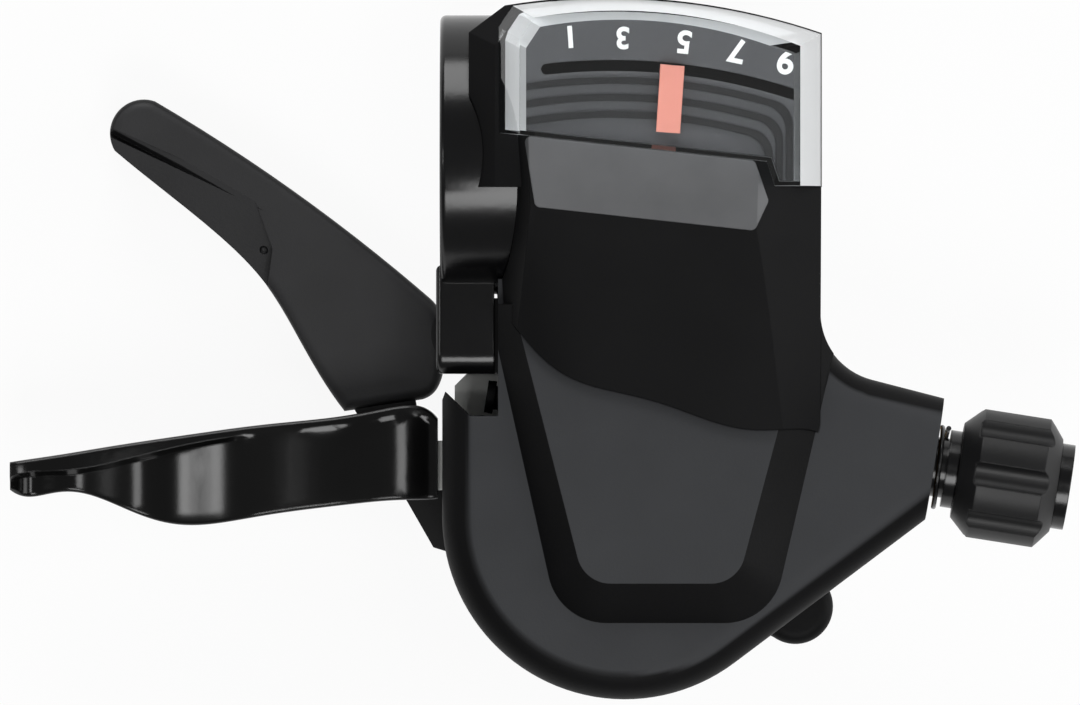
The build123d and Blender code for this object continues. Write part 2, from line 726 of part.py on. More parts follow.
def clamp_bracket():
    """Cast clamp band split at the front, with two ears, the neck and the pad that carries the base."""
    half = band_w / 2
    right = ear_right_x
    front = -band_r - ear_reach
    form = bar(band_r, -half, half)
    form = fillet(form.edges().filter_by(GeomType.CIRCLE), band_round)
    ear = block(right - ear_w, right, front, -bar_r, ear_bottom, ear_top)
    ear = fillet(ear.edges().filter_by(Axis.X).sort_by(Axis.Y)[:2], ear_round)
    form += fillet(ear.faces().sort_by(Axis.X)[0].edges(), band_round)
    form += neck(0)
    form += pad(0)
    form -= bar(bar_r, -half, half)
    side = half + over
    slit = block(-side, side, front - over, -bar_r + over, slit_z - slit_w / 2, slit_z + slit_w / 2)
    form -= slit - block(right, side, front - over, -band_r, slit_z - slit_w, slit_z + slit_w)
    form -= rod(bolt_x, bolt_y, ear_bottom, slit_z, bolt_d / 2 + slip)
    form -= rod(bolt_x, bolt_y, slit_z, ear_top - bolt_cap, bolt_d / 2)
    for x, y in pad_spots:
        form -= rod(x, y, base_bottom - pad_t, base_bottom, screw_d / 2)
    return form


def clamp_bolt():
    """Socket head bolt that closes the clamp from below."""
    low = ear_bottom - bolt_head_h
    head = rod(bolt_x, bolt_y, low, ear_bottom, bolt_head_d / 2)
    head = chamfer(head.edges().filter_by(GeomType.CIRCLE).sort_by(Axis.Z)[0], bolt_edge)
    socket = Pos(bolt_x, bolt_y) * RegularPolygon(bolt_hex / 2, 6, major_radius=False)
    head -= prism(socket, low, ear_bottom - bolt_floor)
    return head + rod(bolt_x, bolt_y, ear_bottom, ear_top - bolt_cap - play, bolt_d / 2)


def screw(x, y, seat, length, upward):
    """Small pan head screw whose head sits on a level and whose shank runs up or down."""
    way = 1 if upward else -1
    outer = seat - way * screw_head_h
    head = rod(x, y, *sorted((seat, outer)), screw_head_d / 2)
    rims = head.edges().filter_by(GeomType.CIRCLE).sort_by(Axis.Z)
    head = fillet(rims[0] if upward else rims[-1], screw_round)
    cross = Rectangle(cross_l, cross_w) + Rectangle(cross_w, cross_l)
    head -= prism(Pos(x, y) * cross, *sorted((outer, outer + way * cross_depth)))
    return head + rod(x, y, *sorted((seat, seat + way * length)), screw_d / 2)


def base_plan():
    """Outline of the base plate, just inside the cover, with the tab that shows in the notch."""
    left = left_x + tab_in
    right = notch_x + tab_root
    low = notch_y - tab_root
    high = notch_y + tab_rise
    tab = face((left, high - tab_cut), (left, low), (right, low), (right, high), (left + tab_cut, high))
    return cover_plan(base_in) + tab + Pos(boss_x, boss_y) * Circle(boss_r - boss_in)


def base_plate():
    """Pressed steel base that carries the axle, the release pivot and the covers."""
    form = prism(base_plan(), base_bottom, base_top)
    form -= bar_tunnel(saddle_r, ring_room)
    form -= neck(gap)
    form -= rod(axle_x, axle_y, base_bottom, base_top, axle_r)
    form -= rod(hold_x, hold_y, base_bottom, base_top, hold_pin_d / 2)
    for x, y in (*cover_spots, *pad_spots, *lower_spots):
        form -= rod(x, y, base_bottom, base_top, screw_d / 2)
    return form - prism(pin_lane(), base_bottom, base_top)


def pin_lane():
    """Plan of the slot in which the winding pawl's pin travels with the main lever."""
    return arc_slot(wind_r, wind_pin_d + 2 * gap, wind_angle, wind_angle + lever_swing, axle_x, axle_y)


def lower_plan(inset):
    """Outline of the lower cover: round about the axle, with a lobe out to the screw boss."""
    spread = atan2(boss_y - axle_y, boss_x - axle_x)
    side = Vector(-sin(spread), cos(spread), 0) * (boss_r - inset)
    near = Vector(axle_x, axle_y, 0)
    end = Vector(boss_x, boss_y, 0)
    lobe = face(*[(p.X, p.Y) for p in (near - side, end - side, end + side, near + side)])
    return Pos(axle_x, axle_y) * Circle(lower_r - inset) + lobe + Pos(boss_x, boss_y) * Circle(boss_r - inset)


def lower_cover():
    """Black cover under the base, open at the left for the release lever."""
    form = prism(lower_plan(0), lower_bottom, base_bottom)
    form = fillet(form.edges().group_by(Axis.Z)[0], lower_round)
    form -= prism(lower_plan(lower_wall), lower_floor, base_bottom) - rod(
        boss_x, boss_y, lower_floor, base_bottom, boss_r)
    for x, y in lower_spots[1:]:
        form += rod(x, y, lower_floor, base_bottom, screw_head_d / 2 + screw_boss)
    for x, y in lower_spots:
        form -= rod(x, y, lower_bottom, base_bottom, screw_d / 2)
        form -= rod(x, y, lower_bottom, lower_bottom + screw_head_h, screw_head_d / 2 + slip)
    form -= rod(axle_x, axle_y, lower_bottom, lower_floor, collar_d / 2 + collar_room)
    form -= prism(pin_lane(), lower_bottom, lower_floor)
    for x, y in cover_spots:
        form -= rod(x, y, base_bottom - screw_head_h - gap, base_bottom, screw_head_d / 2 + gap)
    form -= pad(gap)
    right, front, rear = release_way
    return form - block(
        left_x - over, hold_x + right, hold_y - front, hold_y + rear, release_foot - gap, base_bottom)


# Axle and what is stacked on it
def main_axle():
    """Stepped axle, riveted in the base on its collar."""
    end = main_lever_bottom - washer_t - nut_h - axle_out
    step = drum_top - stub_in
    form = rod(axle_x, axle_y, end, step, axle_r)
    form += rod(axle_x, axle_y, base_bottom - collar_t, base_bottom, collar_d / 2)
    return form + rod(axle_x, axle_y, step, drum_top + stub_out, stub_d / 2)


def axle_clip():
    """Retaining ring over the drum on the axle's stub."""
    low = drum_top + slip
    outer = stub_d / 2 + clip_w
    ring = tube(axle_x, axle_y, low, low + clip_t, outer, stub_d / 2)
    return ring - block(axle_x - clip_gap / 2, axle_x + clip_gap / 2, axle_y - outer, axle_y, low, low + clip_t)


def axle_nut():
    """Hexagon nut at the foot of the axle."""
    top = main_lever_bottom - washer_t
    plan = Pos(axle_x, axle_y) * RegularPolygon(nut_af / 2, 6, major_radius=False)
    turned = rod(axle_x, axle_y, top - nut_h, top, nut_af / 3**0.5)
    form = prism(plan, top - nut_h, top) & chamfer(turned.edges().group_by(Axis.Z)[0], nut_edge)
    return form - rod(axle_x, axle_y, top - nut_h, top, axle_r)


# Winding drum, ratchet and pawls
def winding_drum():
    """Cable drum with its grooved rim, spring recess, crank pin and nipple pocket."""
    form = rod(axle_x, axle_y, disc_low, drum_top, drum_flange_r)
    form += rod(axle_x, axle_y, drum_bottom, disc_low, hub_d / 2)
    form += tube(axle_x, axle_y, ratchet_top, disc_low, skirt_r, skirt_r - skirt_t)
    form -= Pos(axle_x, axle_y, nose_z) * Torus(groove_r + cable_d / 2, cable_d * groove_fit)
    form -= rod(axle_x, axle_y, drum_bottom, drum_top - stub_in, axle_r + slip)
    form -= rod(axle_x, axle_y, drum_bottom, drum_top, stub_d / 2 + slip)
    form -= rod(*polar(groove_r - pocket_in, pocket_angle), disc_low + pocket_floor, drum_top, pocket_r)
    pin_end = needle_low + needle_t + crank_over
    return form + rod(*polar(crank_r, 90 - needle_lean), drum_top, pin_end, crank_pin_d / 2)


def ratchet_ring():
    """Hardened ring with saw teeth, steep on the side that the pawls push."""
    pitch = 360 / teeth
    points = []
    for tooth in range(teeth):
        angle = tooth * pitch + hold_tip_angle
        points.append(polar(ratchet_root_r, angle))
        points.append(polar(ratchet_tip_r, angle + tooth_rake * pitch))
    plan = face(*points) - Pos(axle_x, axle_y) * Circle(skirt_r - skirt_t)
    return prism(plan, ratchet_bottom, ratchet_top)


def pawl(x, y, tip_angle, pin_d):
    """Pawl from its pin to a tip that stands just clear of the teeth."""
    clear_r = ratchet_tip_r + gap
    inner = Vector(*polar(clear_r, tip_angle), 0)
    outer = Vector(*polar(clear_r + pawl_w, tip_angle), 0)
    pin = Vector(x, y, 0)
    way = (inner - pin).normalized()
    side = Vector(-way.Y, way.X, 0)
    eye = pin_d / 2 + pawl_eye
    sign = 1 if (outer - inner).dot(side) > 0 else -1
    corners = (pin - side * sign * eye * pawl_back, inner, outer, pin + side * sign * eye)
    plan = face(*[(p.X, p.Y) for p in corners]) + Pos(x, y) * Circle(eye)
    plan -= Pos(axle_x, axle_y) * Circle(clear_r)
    form = prism(plan, ratchet_bottom, ratchet_top)
    return form - rod(x, y, ratchet_bottom, ratchet_top, pin_d / 2 + slip)


def winding_pawl_pin():
    """Tall pin riveted in the main lever, reaching up through the base to the ratchet."""
    seat = ratchet_bottom - play
    form = rod(wind_x, wind_y, main_lever_bottom, ratchet_top + wind_pin_out, wind_pin_d / 2)
    return form + rod(wind_x, wind_y, seat - pin_head_t, seat, wind_pin_d / 2 + wind_rim)


def release_pivot_pin():
    """Pin riveted in the base for the release lever below it and the holding pawl above it."""
    shoulder = hold_pin_d / 2 + pin_rim
    form = rod(hold_x, hold_y, release_foot, ratchet_top + hold_pin_out, hold_pin_d / 2)
    form += rod(hold_x, hold_y, release_foot, release_foot + pin_head_t, shoulder)
    return form + rod(hold_x, hold_y, base_top, ratchet_bottom - play, shoulder)


# Levers
def main_cap_plan():
    """Plan of the thumb blade: long gentle edges, round tip and broad heel."""
    rear = Spline(*main_cap_rear)
    heel = Spline(rear @ 1, *main_cap_heel, tangents=(rear % 1, (-1, -0.3)))
    front = Spline(*main_cap_front)
    tip = ThreePointArc(front @ 1, main_cap_tip, rear @ 0)
    return make_face([rear, heel, Line(heel @ 1, front @ 0), front, tip])


def main_lever_plan():
    """Plan of the steel lever from the axle out into the thumb blade."""
    arm = face(*[polar(main_hub_r, angle) for angle in main_hub_arc], *main_arm_front, *main_arm_rear)
    near = [polar(main_hub_r, wind_angle + angle) for angle in lug_arc]
    lug = face(near[0], (wind_x - lug_half, wind_y - lug_out), (wind_x + lug_half, wind_y - lug_out), near[1])
    hub = Pos(axle_x, axle_y) * Circle(main_hub_r)
    return arm + hub + lug + Pos(wind_x, wind_y) * Circle(wind_pin_d / 2 + lug_eye)


def main_lever_plate():
    """Flat steel lever that turns on the foot of the axle."""
    form = prism(main_lever_plan(), main_lever_bottom, main_lever_top)
    form -= rod(axle_x, axle_y, main_lever_bottom, main_lever_top, axle_r + slip)
    return form - rod(wind_x, wind_y, main_lever_bottom, main_lever_top, wind_pin_d / 2)


def main_lever_cap(plate):
    """Moulded thumb blade over the lever with rounded edges, deeper at its tip and faceted above."""
    plan = main_cap_plan()
    bottom = main_cap_top - main_cap_t
    form = prism(plan, bottom, main_cap_top)
    form = fillet(form.edges().group_by(Axis.Z)[-1], main_cap_round)
    low = bottom - main_pad_drop
    slope_from, slope_to = main_pad_x
    tip = plan.bounding_box().min.X - over
    side = face((tip, bottom), (tip, low), (slope_from, low), (slope_to, bottom))
    form += prism(plan, low, bottom) & extrude(Plane.XZ * side, amount=plan.bounding_box().size.Y, both=True)
    run_x, run_y = facet_run
    crease = Vector(run_x, run_y, 0)
    normal = crease.cross(Vector(run_y, -run_x, -facet_fall))
    bevel = Plane(origin=(*facet_at, main_cap_top), x_dir=crease, z_dir=normal)
    facet = prism(face(*facet_plan), bottom, main_cap_top + over)
    return form - split(facet, bisect_by=bevel, keep=Keep.BOTTOM) - plate


def release_lever_plate():
    """Flat steel lever that turns on the release pivot."""
    eye = hold_pin_d / 2 + release_eye
    waist_x, rear, front = release_waist
    end_x, end_rear, end_front = release_end
    plan = face((hold_x, hold_y + eye), (waist_x, hold_y + rear), (end_x, end_rear), (end_x, end_front),
                (waist_x, hold_y - front), (hold_x, hold_y - eye))
    form = prism(plan + Pos(hold_x, hold_y) * Circle(eye), release_low, release_top)
    return form - rod(hold_x, hold_y, release_low, release_top, hold_pin_d / 2 + slip)


def finger_section(x, rear, front, top, floor, rim):
    """Section of the finger lever across X: a raised rim at the rear and the scoop in front of it."""
    plan = face(
        (rear, release_bottom), (front, release_bottom), (front, floor), (rear - rim - finger_step, floor),
        (rear - rim, top), (rear, top))
    columns = plan.vertices().group_by(Axis.X)
    return Plane.YZ.offset(x) * fillet(columns[0] + columns[-1], finger_round)


def release_lever_cap(plate):
    """Moulded finger lever: a flat block by the body, then a scoop for the finger and a thin tip."""
    return loft([finger_section(*station) for station in finger]) - plate


# Barrel adjuster and cable entry
def adjuster_knob():
    """Fluted knob with a flared collar towards the nose and a cone at its outer end."""
    radius = knob_d / 2
    start = nose_end + along * knob_start
    profile = face(
        (0, 0), (radius - knob_flare[0], 0), (radius, knob_flare[1]), (radius, knob_l - knob_chamfer[1]),
        (radius - knob_chamfer[0], knob_l), (0, knob_l))
    half = Plane(origin=start, x_dir=across, z_dir=across.cross(along))
    form = revolve(half * profile, Axis(nose_end, along))
    length = knob_l + over - flute_from
    flute = Pos(radius + flute_r - flute_depth, 0, flute_from + length / 2) * Cylinder(flute_r, length)
    for turn in range(flutes):
        form -= Plane(origin=start, z_dir=along) * Rot(0, 0, turn * 360 / flutes) * flute
    return form - barrel(knob_core_d / 2, knob_start, knob_end)


def adjuster_bolt():
    """Threaded tube that screws in the nose, with the seat for the cable housing in its outer end."""
    end = knob_end + ring_l
    form = barrel(thread_d / 2, -bush_l + thread_short, knob_start)
    form += barrel(knob_core_d / 2, knob_start, knob_end)
    form += barrel(ring_d / 2, knob_end, end)
    form -= barrel(cable_bore_d / 2, -bush_l, end)
    return form - barrel(seat_d / 2, end - seat_l, end)


def adjuster_bush():
    """Threaded insert in the nose."""
    return barrel(bush_d / 2, -bush_l, 0) - barrel(thread_d / 2 + slip, -bush_l, 0)


def adjuster_washer():
    """Click washer that slides with the knob without turning."""
    low = knob_start - gap - click_t
    return barrel(click_d / 2, low, knob_start - slip) - barrel(thread_d / 2 + slip, low, knob_start)


def adjuster_spring():
    """Short coil between the nose and the click washer."""
    seat = Plane(origin=nose_end + along * (small_wire / 2 + play), z_dir=along)
    return seat * winding(1, small_wire * open_wound, thread_d / 2 + 2 * small_wire, small_wire)


def plug_shank(room):
    """Shank of the cable entry plug in the wall by the notch."""
    return barrel(plug_d / 2 + room, plug_start - plug_out, plug_start + plug_l)


def cable_plug():
    """Slotted plug that closes the hole through which the cable is fed."""
    inner = plug_start - plug_head_off
    outer = inner - plug_head_h
    form = plug_shank(0) + barrel(plug_head_d / 2, outer, inner)
    slot = Box(plug_head_d, plug_slot, 2 * plug_slot_depth)
    return form - Plane(origin=nose_end + along * outer, x_dir=across, z_dir=along) * slot


def write(name, shape):
    """Write one piece as its own file."""
    export_step(shape, f"parts/{name}.step")


os.makedirs("parts", exist_ok=True)
panel = panel_block(0)
main_plate = main_lever_plate()
release_plate = release_lever_plate()

write("clamp_bracket", clamp_bracket())
write("clamp_bolt", clamp_bolt())
write("base_plate", base_plate())
write("bracket_screws", Compound([screw(x, y, base_top, base_t + pad_t, False) for x, y in pad_spots]))
write("top_cover", top_cover(panel))
write("cover_screws", Compound([screw(x, y, base_bottom, screw_l, True) for x, y in cover_spots]))
write("indicator_housing", indicator_housing(panel, panel_block(wall)))
write("indicator_lens", indicator_lens())
write("dial_plate", dial_plate())
write("name_plate", name_plate(panel))
write("indicator_needle", indicator_needle())
write("indicator_pivot", indicator_pivot())
write("lower_cover", lower_cover())
write("lower_cover_screws", Compound(
    [screw(x, y, lower_bottom + screw_head_h, lower_depth + base_t + lower_screw_out - screw_head_h, True)
     for x, y in lower_spots]))
write("main_axle", main_axle())
write("axle_clip", axle_clip())
write("thrust_washer", tube(axle_x, axle_y, base_top, drum_bottom - slip, hub_d / 2 + thrust_rim, axle_r))
write("axle_spacer", tube(axle_x, axle_y, main_lever_top + slip, base_bottom - collar_t, collar_d / 2, axle_r))
write("lever_washer", tube(
    axle_x, axle_y, main_lever_bottom - washer_t, main_lever_bottom - slip, lever_washer_d / 2, axle_r))
write("axle_nut", axle_nut())
write("winding_drum", winding_drum())
write("ratchet_ring", ratchet_ring())
write("drum_spring", coil(axle_x, axle_y, drum_bottom + gap, 3, hub_d / 2 + drum_spring_out, drum_spring_wire))
write("holding_pawl", pawl(hold_x, hold_y, hold_tip_angle, hold_pin_d))
write("holding_pawl_spring", coil(
    hold_x, hold_y, ratchet_top + pawl_spring_up, 2, hold_pin_d / 2 + small_wire, small_wire))
write("release_pivot_pin", release_pivot_pin())
write("winding_pawl", pawl(wind_x, wind_y, wind_tip_angle, wind_pin_d))
write("winding_pawl_spring", coil(
    wind_x, wind_y, ratchet_top + pawl_spring_up, 1.5, wind_pin_d / 2 + small_wire, small_wire))
write("winding_pawl_pin", winding_pawl_pin())
write("main_lever_plate", main_plate)
write("main_lever_cap", main_lever_cap(main_plate))
write("main_lever_spring", coil(
    axle_x, axle_y, lower_floor + gap, 2.6, collar_d / 2 + lever_spring_out, lever_spring_wire))
write("release_lever_plate", release_plate)
write("release_lever_cap", release_lever_cap(release_plate))
write("release_lever_spring", coil(
    hold_x, hold_y, release_foot + release_spring_up, 1.6, hold_pin_d / 2 + play + small_wire, small_wire))
write("adjuster_knob", adjuster_knob())
write("adjuster_bolt", adjuster_bolt())
write("adjuster_bush", adjuster_bush())
write("adjuster_washer", adjuster_washer())
write("adjuster_spring", adjuster_spring())
write("cable_plug", cable_plug())
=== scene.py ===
import json
import logging
import math
from collections.abc import Callable
from dataclasses import dataclass, field
from enum import Enum

import bpy
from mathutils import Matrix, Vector

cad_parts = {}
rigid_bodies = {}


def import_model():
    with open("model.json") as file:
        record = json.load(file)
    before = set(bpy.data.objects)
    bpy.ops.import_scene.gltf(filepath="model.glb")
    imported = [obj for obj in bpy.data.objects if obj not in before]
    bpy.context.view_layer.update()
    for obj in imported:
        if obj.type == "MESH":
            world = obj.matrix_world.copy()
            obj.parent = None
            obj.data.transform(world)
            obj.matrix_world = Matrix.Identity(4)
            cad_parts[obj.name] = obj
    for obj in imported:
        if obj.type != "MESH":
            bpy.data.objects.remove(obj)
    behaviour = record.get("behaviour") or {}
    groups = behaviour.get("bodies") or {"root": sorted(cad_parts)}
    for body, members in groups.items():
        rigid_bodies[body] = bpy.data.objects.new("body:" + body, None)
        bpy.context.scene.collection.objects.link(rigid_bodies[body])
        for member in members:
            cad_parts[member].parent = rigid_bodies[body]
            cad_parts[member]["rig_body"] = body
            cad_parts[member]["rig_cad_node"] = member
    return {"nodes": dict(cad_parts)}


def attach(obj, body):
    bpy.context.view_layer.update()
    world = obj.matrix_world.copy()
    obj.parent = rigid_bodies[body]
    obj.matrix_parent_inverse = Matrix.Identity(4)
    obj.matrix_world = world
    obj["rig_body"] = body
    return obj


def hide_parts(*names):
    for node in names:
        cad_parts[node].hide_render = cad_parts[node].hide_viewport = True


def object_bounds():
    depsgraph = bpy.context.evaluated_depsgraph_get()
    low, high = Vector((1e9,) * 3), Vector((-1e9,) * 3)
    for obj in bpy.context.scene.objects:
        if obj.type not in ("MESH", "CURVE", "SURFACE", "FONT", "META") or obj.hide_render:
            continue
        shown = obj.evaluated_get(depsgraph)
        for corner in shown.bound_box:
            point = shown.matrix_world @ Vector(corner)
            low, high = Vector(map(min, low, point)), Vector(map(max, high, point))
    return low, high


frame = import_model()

CAD_BOX = [list(corner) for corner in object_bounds()]
MM = 0.001
WELD = 0.002 * MM                   # points nearer than this are joined
SMOOTH_ANGLE = math.radians(24)     # edges with a larger angle stay sharp
TONE_STOPS = (0.3, 0.7)             # where the slow noise reaches the darkest and the lightest tone
GLOSS_CHANGE = 0.14                 # how far the roughness strays from its mean, as a share
LOG = logging.getLogger("shifter")


class Body(Enum):
    """The bodies of the part that new pieces ride on."""

    SHELL = "body"
    THUMB = "main_lever"
    FINGER = "release_lever"
    BARREL = "adjuster"


def linear(code: str) -> tuple[float, float, float, float]:
    """Turns an sRGB hex colour to linear light.

    Args:
        code: Colour as six hex digits after a hash.

    Returns:
        Red, green, blue and an alpha of one.
    """
    parts = [int(code[i:i + 2], 16) / 255 for i in (1, 3, 5)]
    return (*[p / 12.92 if p <= 0.04045 else ((p + 0.055) / 1.055) ** 2.4 for p in parts], 1.0)


def add_node(tree: bpy.types.NodeTree, kind: str, settings: dict, links: dict) -> bpy.types.Node:
    """Adds one shader node.

    Args:
        tree: The material's or the world's node tree.
        kind: Blender's name for the node.
        settings: Socket values by socket name or number, and properties by name.
        links: Output sockets by the name or number of the input that takes them.

    Returns:
        The new node.
    """
    made = tree.nodes.new(kind)
    for key, value in settings.items():
        if isinstance(key, int) or key in made.inputs:
            made.inputs[key].default_value = value
        else:
            setattr(made, key, value)
    for key, socket in links.items():
        tree.links.new(socket, made.inputs[key])
    return made


def per_mm(size: float) -> float:
    """Gives a pattern's scale.

    Args:
        size: Width of the pattern's features, in millimetres.

    Returns:
        The scale for a texture that reads metres.
    """
    return 1 / (size * MM)


@dataclass(frozen=True)
class Finish:
    """A surface: what it is made of and how it was made.

    Grain and depth are the width and the height of the fine relief that breaks up the gloss. Drift
    and change are the width and the share of the slow change of tone. Edge is the radius that
    softens sharp edges. Lengths are in millimetres.
    """

    name: str
    colour: str
    roughness: float
    metallic: float = 0.0
    ior: float = 1.5
    gloss: float = 0.5
    grain: float = 0.3
    depth: float = 0.012
    drift: float = 7.0
    change: float = 0.14
    edge: float = 0.2

    def base(self) -> tuple[bpy.types.Material, bpy.types.Node]:
        """Starts the material with a plain shader.

        Returns:
            The material and its principled shader.
        """
        made = bpy.data.materials.new(self.name)
        made.use_nodes = True
        shader = made.node_tree.nodes["Principled BSDF"]
        shader.inputs["Metallic"].default_value = self.metallic
        if not self.metallic:
            shader.inputs["IOR"].default_value = self.ior
        shader.inputs["Specular IOR Level"].default_value = self.gloss
        made.diffuse_color = linear(self.colour)
        return made, shader

    def relief(self, tree: bpy.types.NodeTree, place: bpy.types.Node) -> bpy.types.Node:
        """Makes the fine grain.

        Args:
            tree: The material's nodes.
            place: The texture coordinates.

        Returns:
            A node whose first output is the height.
        """
        settings = {"Scale": per_mm(self.grain), "Detail": 3.0, "Roughness": 0.6}
        return add_node(tree, "ShaderNodeTexNoise", settings, {"Vector": place.outputs["Object"]})

    def tone(self, tree: bpy.types.NodeTree, slow: bpy.types.Node) -> bpy.types.NodeSocket:
        """Makes the colour, which drifts a little across a piece.

        Args:
            tree: The material's nodes.
            slow: The slow noise.

        Returns:
            The socket with the colour.
        """
        ramp = add_node(tree, "ShaderNodeValToRGB", {}, {"Fac": slow.outputs[0]})
        plain = linear(self.colour)
        shares = (1 - self.change, 1 + self.change)
        for stop, share, spot in zip(ramp.color_ramp.elements, shares, TONE_STOPS):
            stop.position = spot
            stop.color = (*[min(1.0, c * share) for c in plain[:3]], 1.0)
        return ramp.outputs["Color"]

    def build(self) -> bpy.types.Material:
        """Makes the material, with drifting tone, uneven gloss, grain and softened edges.

        Returns:
            The material.
        """
        made, shader = self.base()
        tree = made.node_tree
        place = add_node(tree, "ShaderNodeTexCoord", {}, {})
        slow = add_node(tree, "ShaderNodeTexNoise", {"Scale": per_mm(self.drift), "Detail": 4.0},
                        {"Vector": place.outputs["Object"]})
        tree.links.new(self.tone(tree, slow), shader.inputs["Base Color"])
        spread = {"To Min": self.roughness * (1 - GLOSS_CHANGE),
                  "To Max": min(1.0, self.roughness * (1 + GLOSS_CHANGE))}
        wear = add_node(tree, "ShaderNodeMapRange", spread, {"Value": slow.outputs[0]})
        tree.links.new(wear.outputs[0], shader.inputs["Roughness"])
        soft = add_node(tree, "ShaderNodeBevel", {"Radius": self.edge * MM, "samples": 4}, {})
        grain = self.relief(tree, place)
        bump = add_node(tree, "ShaderNodeBump", {"Strength": 1.0, "Distance": self.depth * MM},
                        {"Height": grain.outputs[0], "Normal": soft.outputs[0]})
        tree.links.new(bump.outputs[0], shader.inputs["Normal"])
        return made


@dataclass(frozen=True)
class PaintAndShade(Finish):
    """A moulding with a dark colour where the piece's own attribute says so: paint and painted
    shade on the cover, painted shade on the thumb lever.
    """

    # The default dark colour is painted shade, which the thumb lever takes; the cover sets its own.
    paint: str = "#0C0C0D"
    mark: str = "paint"

    def tone(self, tree: bpy.types.NodeTree, slow: bpy.types.Node) -> bpy.types.NodeSocket:
        """Lays the dark colour, paint and painted shade, over the moulding's own colour.

        Args:
            tree: The material's nodes.
            slow: The slow noise.

        Returns:
            The socket with both colours.
        """
        bare = super().tone(tree, slow)
        mark = add_node(tree, "ShaderNodeAttribute", {"attribute_name": self.mark}, {})
        both = add_node(tree, "ShaderNodeMix", {"data_type": "RGBA", 7: linear(self.paint)},
                        {0: mark.outputs["Fac"], 6: bare})
        return both.outputs[2]


@dataclass(frozen=True)
class Brushed(Finish):
    """A rolled, drawn or turned metal, with fine lines; lay squeezes the grain along each axis."""

    lay: tuple[float, float, float] = (1.0, 1.0, 14.0)

    def relief(self, tree: bpy.types.NodeTree, place: bpy.types.Node) -> bpy.types.Node:
        """Makes the lines by stretching the grain.

        Args:
            tree: The material's nodes.
            place: The texture coordinates.

        Returns:
            A node whose first output is the height.
        """
        stretch = add_node(tree, "ShaderNodeMapping", {"Scale": self.lay},
                           {"Vector": place.outputs["Object"]})
        settings = {"Scale": per_mm(self.grain * max(self.lay)), "Detail": 2.0}
        return add_node(tree, "ShaderNodeTexNoise", settings, {"Vector": stretch.outputs[0]})


@dataclass(frozen=True)
class Clear(Finish):
    """A see-through moulding, which also lets the lamps light what is behind it."""

    clearness: float = 1.0

    def build(self) -> bpy.types.Material:
        """Makes the clear material, with faint waves in its faces.

        Returns:
            The material.
        """
        made, shader = self.base()
        tree = made.node_tree
        shader.inputs["Base Color"].default_value = linear(self.colour)
        shader.inputs["Roughness"].default_value = self.roughness
        shader.inputs["Transmission Weight"].default_value = self.clearness
        place = add_node(tree, "ShaderNodeTexCoord", {}, {})
        waves = self.relief(tree, place)
        bump = add_node(tree, "ShaderNodeBump", {"Strength": 1.0, "Distance": self.depth * MM},
                        {"Height": waves.outputs[0]})
        tree.links.new(bump.outputs[0], shader.inputs["Normal"])
        path = add_node(tree, "ShaderNodeLightPath", {}, {})
        film = add_node(tree, "ShaderNodeBsdfTransparent", {"Color": linear(self.colour)}, {})
        lit = add_node(tree, "ShaderNodeMixShader", {},
                       {0: path.outputs["Is Shadow Ray"], 1: shader.outputs[0], 2: film.outputs[0]})
        tree.links.new(lit.outputs[0], tree.nodes["Material Output"].inputs["Surface"])
        return made


# Glass-filled nylon from an eroded mould: a dull dark grey that sparkles a little.
# The black on the step round the shield is paint; the black on the steep rim and the nose edge is
# painted shade.
COVER = PaintAndShade("moulded_nylon_grey", "#38393B", 0.55, gloss=0.12, grain=0.32, depth=0.016,
                change=0.05, paint="#070708")
# ABS from a fine-eroded mould: deep black with hardly any reflection.
HOUSING = Finish("moulded_abs_black", "#0E0E0F", 0.6, gloss=0.1, grain=0.6, depth=0.005,
                 change=0.08)
# ABS of the knob: black, with the gloss that fingers leave on its lobes.
KNOB = Finish("handled_abs_black", "#0E0E0F", 0.42, gloss=0.32, grain=0.5, depth=0.008)
# Nylon of the thumb lever: dark grey with a coarser grain for grip; the black on its steep edges
# and in its groove is painted shade.
LEVER = PaintAndShade("moulded_nylon_black", "#313132", 0.5, gloss=0.2, grain=0.38, depth=0.02,
                change=0.08)
# Nylon of the finger lever, polished by use: black with clear highlights.
FINGER = Finish("polished_nylon_black", "#090909", 0.16, gloss=0.36, grain=0.6, depth=0.003)
# Polycarbonate: water clear.
LENS = Clear("clear_polycarbonate", "#F6F8F9", 0.03, ior=1.58, gloss=0.5, grain=3.0, depth=0.004)
# The same moulding on its walls: rougher, less clear and near white; the white is a painted
# highlight for the light that gathers in the edge.
FROST_AND_HIGHLIGHT = Clear("frosted_polycarbonate_highlight", "#F4F6F7", 0.32, ior=1.58, gloss=0.6, grain=0.5, depth=0.01,
              clearness=0.4)
# Polystyrene dial: matt grey.
DIAL = Finish("moulded_polystyrene_grey", "#4A4A4C", 0.55, gloss=0.3, grain=0.25, depth=0.008,
              change=0.06)
# Black ink rolled on the dial's ribs: dark lines with a faint sheen.
RIB = Finish("printed_black_ink", "#131314", 0.5, gloss=0.3, grain=0.2, depth=0.004, change=0.06)
# Pad-printed ink of the figures: a flat white.
INK = Finish("printed_white_ink", "#F6F6F3", 0.5, gloss=0.4, grain=0.2, depth=0.004, change=0.04)
# Acetal pointer: salmon orange.
POINTER = Finish("moulded_acetal_orange", "#D88B7B", 0.4, gloss=0.4, grain=0.4, depth=0.006,
                 change=0.06)
# Aluminium foil plate, lacquered: mid grey, with lines along its length.
PLATE = Brushed("lacquered_foil_grey", "#535456", 0.4, gloss=0.4, grain=0.12, depth=0.006,
                lay=(1.0, 12.0, 1.0))
# Die-cast aluminium with black paint: glossy, with a slight orange peel.
ALLOY = Finish("painted_cast_aluminium", "#0A0A0B", 0.2, gloss=0.38, grain=1.1, depth=0.01)
